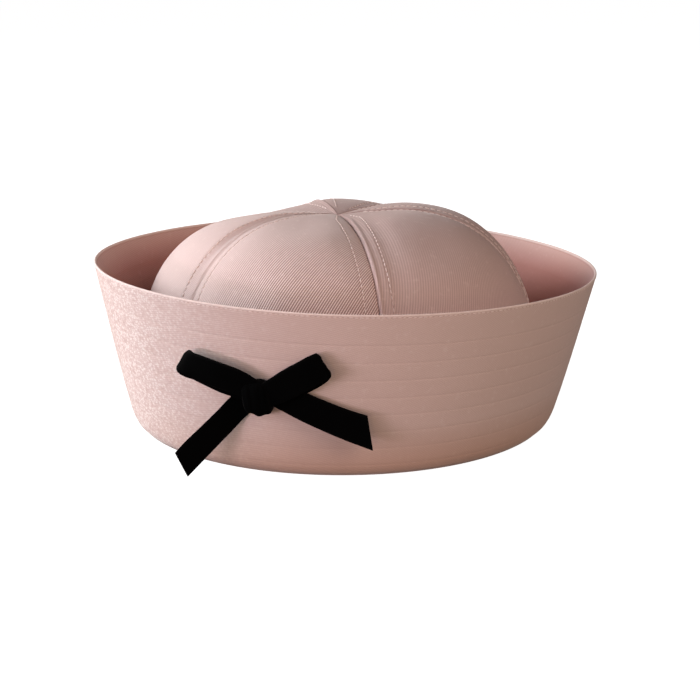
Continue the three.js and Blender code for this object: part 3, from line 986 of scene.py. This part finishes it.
# a ribbon's path has its places to the right, up and out from the knot in mm,
# then the share of the ribbon's width that shows, and how many degrees it is rolled
bow = {
    "ribbonWidth": 12,
    "thickness": 1.1,
    "azimuth": -18,
    "rise": 0.527,
    "flare": 0.565,
    "radius": 105,  # of the brim behind it
    "cup": {"height": 0.075, "level": 0.4},  # the ribbon's edges stand up
    "nose": {"height": 1.7, "width": 0.07, "fall": 1.2},  # how a loop's end bulges past its corners
    "twist": {"height": 0.16, "rate": 9},
    "wave": {"height": 0.12, "rate": 14},
    "steps": 84,
    "pacing": 0.8,  # how far the steps follow the distances between the rows
    "round": 28,
    "flatness": 0.35,
    "softness": 0.8,
    "bowLoopLeft": [
        (-1.0, 2.6, 5.4, 0.82, 0),
        (-7.0, 5.9, 6.0, 0.97, 0),
        (-15.0, 8.5, 6.8, 1.0, 0),
        (-24.0, 10.1, 7.2, 1.0, 0),
        (-29.7, 10.7, 7.0, 0.96, 0),
        (-31.6, 10.2, 5.6, 0.88, 0),
        (-30.2, 8.9, 4.2, 0.94, 0),
        (-24.0, 6.8, 3.6, 1.0, 0),
        (-15.0, 4.1, 3.2, 1.0, 0),
        (-7.0, 1.6, 2.9, 0.84, 0),
        (-1.0, -0.4, 2.7, 0.7, 0),
    ],
    "bowLoopRight": [
        (1.5, -0.2, 5.4, 0.8, 0),
        (9.6, 4.3, 6.0, 0.95, 0),
        (15.5, 8.2, 6.6, 1.0, 0),
        (21.0, 11.5, 6.8, 1.0, 0),
        (24.9, 13.7, 6.4, 0.98, 0),
        (26.6, 14.0, 5.1, 0.94, 0),
        (24.6, 11.6, 3.8, 0.98, 0),
        (20.0, 8.6, 3.4, 1.0, 0),
        (14.3, 5.4, 3.1, 0.98, 0),
        (8.3, 2.2, 2.9, 0.88, 0),
        (2.0, -1.2, 2.7, 0.72, 0),
    ],
    "bowTailLeft": [
        (-1.5, -1.0, 1.1, 0.74, 0),
        (-9.0, -6.5, 1.6, 0.86, 6),
        (-16.5, -14.0, 6.6, 0.89, 8),
        (-24.5, -21.5, 13.6, 0.93, 6),
        (-32.4, -29.6, 20.2, 0.98, 0),
    ],
    "bowTailRight": [
        (2.0, 1.0, 1.3, 0.84, 0),
        (12.0, -2.7, 2.0, 0.98, -7),
        (22.0, -7.0, 3.4, 1.0, -15),
        (32.0, -11.5, 5.0, 1.0, -20),
        (43.4, -16.6, 6.7, 1.05, -22),
    ],
    "ribbonParts": ("name", "node", "flat", "tilt", "cut", "phase"),
    "ribbons": [
        ("bowLoopLeft", "bow_loop_left", (0.066, 0.012), 60, 0, 8),
        ("bowLoopRight", "bow_loop_right", (0.064, 0.012), 123, 0, 9),
        ("bowTailLeft", "bow_tail_left", (0.048, 0.012), 90, -25, 8),
        ("bowTailRight", "bow_tail_right", (0.046, 0.012), 90, -29, 9),
    ],
    "knot": {
        "middle": (-0.4, -1.0, 4.0),
        "half": (6.6, 7.8, 3.7),
        "around": 64,
        "up": 40,
        "squareness": {"x": (0.7, 0.55), "y": 0.8, "z": (0.75, 0.7)},
        "creases": [(0.35, -0.28, 0.12), (0.3, 0.36, 0.1)],  # depth, place and width
        "creaseShare": 0.25,
        "wrinkle": {"depth": 0.12, "rate": 19, "slant": 2},
        "waist": {"depth": 0.05, "width": 0.35},
        "lumps": [(0.06, 7, 1.2, -1), (0.04, 5, 0, 1)],  # height, rate, start, and the end it is at
        "unrolled": 0.9,
        "merge": 0.02,
    },
}


def bowFrame():
    # the ways right, up and out at the bow's place on the brim, and that place
    flare, height = brim["rimRadius"] - brim["baseRadius"], rimHeight(bow["azimuth"])
    azimuth, slope = math.radians(bow["azimuth"]), math.atan2(flare, float(height))
    right = np.array([math.cos(azimuth), math.sin(azimuth), 0])
    level = np.array([math.sin(azimuth), -math.cos(azimuth), 0])
    out = math.cos(slope) * level + np.array([0, 0, -math.sin(slope)])
    spot = around(brim["baseRadius"] + flare * bow["flare"], bow["azimuth"], height * bow["rise"])
    spot[0] += brim["baseShift"] * (1 - bow["rise"])
    return np.array([right, np.cross(out, right), out]), spot


bowAxes, bowSpot = bowFrame()


def ontoBrim(points):
    return (points.reshape(-1, 3) @ bowAxes + bowSpot).reshape(points.shape) * mm


def unit(vectors):
    return vectors / np.linalg.norm(vectors, axis=-1, keepdims=True)


def ribbonLine(path):
    # the ribbon's middle line, with its width and roll, over even steps
    rows = np.array(path, float)
    rows[:, 2] -= rows[:, 0] ** 2 / (2 * bow["radius"])
    run = runAlong(rows[:, :3], bow["pacing"])
    names = ("x", "y", "out", "width", "turn")
    table = {"run": run, **dict(zip(names, rows.T))}
    steps = np.linspace(0, run[-1], bow["steps"])
    return {name: smoothColumn(table, "run", name)(steps) for name in names}


def ribbonSection():
    # flat faces and soft edges: s goes across the ribbon and f through it
    turns = np.radians(np.linspace(0, 360, bow["round"], endpoint=False))
    s = np.sign(np.cos(turns)) * np.abs(np.cos(turns)) ** bow["flatness"]
    f = np.sign(np.sin(turns)) * np.abs(np.sin(turns)) ** bow["softness"]
    return s, f


def ribbonPoints(ribbon, line, path, half):
    run = unit(np.gradient(path, axis=0))
    tilt = math.radians(ribbon["tilt"])
    across = np.array([math.cos(tilt), math.sin(tilt), 0])
    side = unit(across - run * (run @ across)[:, None])
    roll = np.radians(line["turn"])[:, None]
    side = side * np.cos(roll) + np.cross(run, side) * np.sin(roll)
    face = np.cross(run, side)
    steps = np.linspace(0, 1, bow["steps"])[:, None]
    slant = math.tan(math.radians(ribbon["cut"])) * half * steps**4
    s, f = ribbonSection()
    twist, wave, cup = bow["twist"], bow["wave"], bow["cup"]
    ripple = twist["height"] * np.sin(steps * twist["rate"] + ribbon["phase"]) * s
    ripple = ripple + wave["height"] * np.cos(steps * wave["rate"])
    out = f * bow["thickness"] / 2 + cup["height"] * (s**2 - cup["level"]) + ripple
    points = (
        path[:, None]
        + side[:, None] * (s * half)[..., None]
        + run[:, None] * (s * slant)[..., None]
        + face[:, None] * out[..., None]
    )
    if "Loop" in ribbon["name"]:
        nose = bow["nose"]
        fold = int(np.argmax(np.abs(path[:, 0])))
        near = humpAt(steps, steps[fold], nose["width"])
        outward = unit(path[fold] - path[0]) * np.array([1, 1, 0])
        points += outward * (nose["height"] * near * (1 - np.abs(s) ** 3 * nose["fall"]))[..., None]
    return points


def addRibbon(ribbon):
    line = ribbonLine(bow[ribbon["name"]])
    path = np.stack([line["x"], line["y"], line["out"]], 1)
    half = bow["ribbonWidth"] * line["width"] / 2
    points = ontoBrim(ribbonPoints(ribbon, line, path, half[:, None]))
    rows, size = points.shape[:2]
    numbers, places = gridFaces(rows, size, False, True)
    s = ribbonSection()[0]
    wide = np.append(s, s[0])[places[..., 1]] * half[places[..., 0]]
    cloth = np.stack([wide, runAlong(path)[places[..., 0]]], -1) * mm
    faces = list(numbers) + [list(range(size)), list(range((rows - 1) * size, rows * size))[::-1]]
    flats = list(cloth) + [np.zeros((size, 2)), np.zeros((size, 2))]
    made = addPiece(ribbon["name"], points, faces, flats, None, blackVelvet)
    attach(made, "root")
    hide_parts(ribbon["node"])


def boxy(value, share):
    # squares off a round form
    return np.sign(value) * np.abs(value) ** share


def addKnot():
    # a short band drawn tight round the middle, with soft creases down it
    knot = bow["knot"]
    turns = np.linspace(0, 2 * math.pi, knot["around"], endpoint=False)
    a, b = np.meshgrid(turns, np.linspace(-math.pi / 2, math.pi / 2, knot["up"]), indexing="ij")
    square = knot["squareness"]
    x = boxy(np.cos(a), square["x"][0]) * boxy(np.cos(b), square["x"][1])
    z = boxy(np.sin(a), square["z"][0]) * boxy(np.cos(b), square["z"][1])
    y = boxy(np.sin(b), square["y"])
    crease = sum(depth * humpAt(x, place, width) for depth, place, width in knot["creases"])
    wrinkle = knot["wrinkle"]
    crease = crease + wrinkle["depth"] * np.sin(x * wrinkle["rate"] + y * wrinkle["slant"])
    waist = knot["waist"]["depth"] * humpAt(y, 0.0, knot["waist"]["width"])
    shrink = 1 - crease * np.abs(z) * knot["creaseShare"] - waist * (1 - np.abs(z))
    lumps = 1
    for height, rate, start, end in knot["lumps"]:
        lumps = lumps + height * np.sin(x * rate + start) * np.clip(end * y, 0, 1)
    wide, tall, thick = knot["half"]
    points = np.stack([x * wide * shrink, y * tall * lumps, z * thick * shrink], -1)
    points = ontoBrim(points + np.array(knot["middle"]))
    columns, rows = x.shape
    numbers, places = gridFaces(columns, rows, True, False)
    cloth = np.stack([x, y * knot["unrolled"]], -1)[places[..., 0] % columns, places[..., 1]] * wide * mm
    made = addPiece("bowKnot", points, numbers, cloth, None, blackVelvet)
    # the ring of points at each pole becomes one point
    merging = made.modifiers.new("poles", "WELD")
    merging.merge_threshold = knot["merge"] * mm
    bakeModifiers(made)
    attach(made, "root")
    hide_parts("bow_knot")


for values in bow["ribbons"]:
    addRibbon(dict(zip(bow["ribbonParts"], values)))
addKnot()
print("bow made")


# lengths in metres, colours of the lights in watts
studio = {
    "floorSize": 26.0,
    "floorColour": (0.30, 0.31, 0.32),
    "floorGlow": 0.97,
    "domeRadius": 12.0,
    "domeAround": 48,
    "domeUp": 12,
    "domeTop": 88,  # degrees of lift
    "ambient": (0.11, 0.09, 0.085),
    "aimHeight": 0.05,
    "lights": [  # name, azimuth, lift, size, colour and distance
        ("backLight", -125, 14, (0.6, 0.4), (12.9, 10.3, 9.2), 1.6),
        ("leftLight", -100, 22, (0.7, 0.7), (14.3, 17.2, 17.7), 1.6),
        ("highLeftLight", -80, 34, (0.9, 0.7), (7.0, 7.5, 8.1), 1.6),
        ("frontLeftLight", -50, 12, (1.5, 0.9), (5.9, 4.9, 5.3), 1.6),
        ("lowLight", -45, 0, (0.3, 0.06), (1.24, 1.04, 1.13), 0.8),
        ("frontLight", -10, 5, (0.7, 0.2), (2.3, 1.6, 1.0), 1.6),
        ("highRightLight", 40, 31, (0.9, 0.7), (9.6, 7.8, 6.6), 1.6),
    ],
}


def glowing(name, colour, glow):
    material, desk = startMaterial(name)
    desk.shade({
        "Base Color": colour,
        "Roughness": 0.9,
        "Specular IOR Level": 0.0,
        "Emission Color": (1, 1, 1),
        "Emission Strength": glow,
    })
    return material


def addStage():
    # a pale floor, and a white dome that only closes the view behind it
    half = studio["floorSize"] / 2
    corners = [(-half, -half, 0), (half, -half, 0), (half, half, 0), (-half, half, 0)]
    floor = addMesh("floor", corners, [], [(0, 1, 2, 3)])
    floor.data.materials.append(glowing("paleFloor", studio["floorColour"], studio["floorGlow"]))
    columns, rows = studio["domeAround"], studio["domeUp"]
    azimuths = np.arange(columns) * 360 / columns
    climbs = np.radians(np.linspace(0, studio["domeTop"], rows))[None, :]
    radius = studio["domeRadius"]
    points = around(radius * np.cos(climbs), azimuths[:, None], radius * np.sin(climbs))
    numbers = gridFaces(columns, rows, True, False)[0]
    dome = addMesh("dome", points.reshape(-1, 3).tolist(), [], numbers.tolist())
    dome.data.materials.append(glowing("whiteDome", (0, 0, 0), 1.0))
    dome.visible_shadow = False
    for made in (floor, dome):
        made.visible_diffuse = False
        made.visible_glossy = False


def addLight(name, azimuth, lift, size, colour, away):
    data = bpy.data.lights.new(name, "AREA")
    data.shape = "RECTANGLE"
    data.size, data.size_y = size
    data.energy = max(colour)
    data.color = [part / data.energy for part in colour]
    made = addObject(name, data)
    climb = math.radians(lift)
    height = studio["aimHeight"] + away * math.sin(climb)
    made.location = around(away * math.cos(climb), azimuth, height)
    aim = np.array([0.0, 0.0, studio["aimHeight"]]) - np.array(made.location)
    level = math.hypot(aim[0], aim[1])
    made.rotation_euler = (math.atan2(level, -aim[2]), 0, math.atan2(aim[1], aim[0]) - math.pi / 2)


def lightRoom():
    world = bpy.data.worlds.new("room")
    world.use_nodes = True
    background = world.node_tree.nodes["Background"]
    background.inputs[0].default_value = (*studio["ambient"], 1.0)
    background.inputs[1].default_value = 1.0
    scene.world = world
    for light in studio["lights"]:
        addLight(*light)


addStage()
lightRoom()
print("floor and lights set")
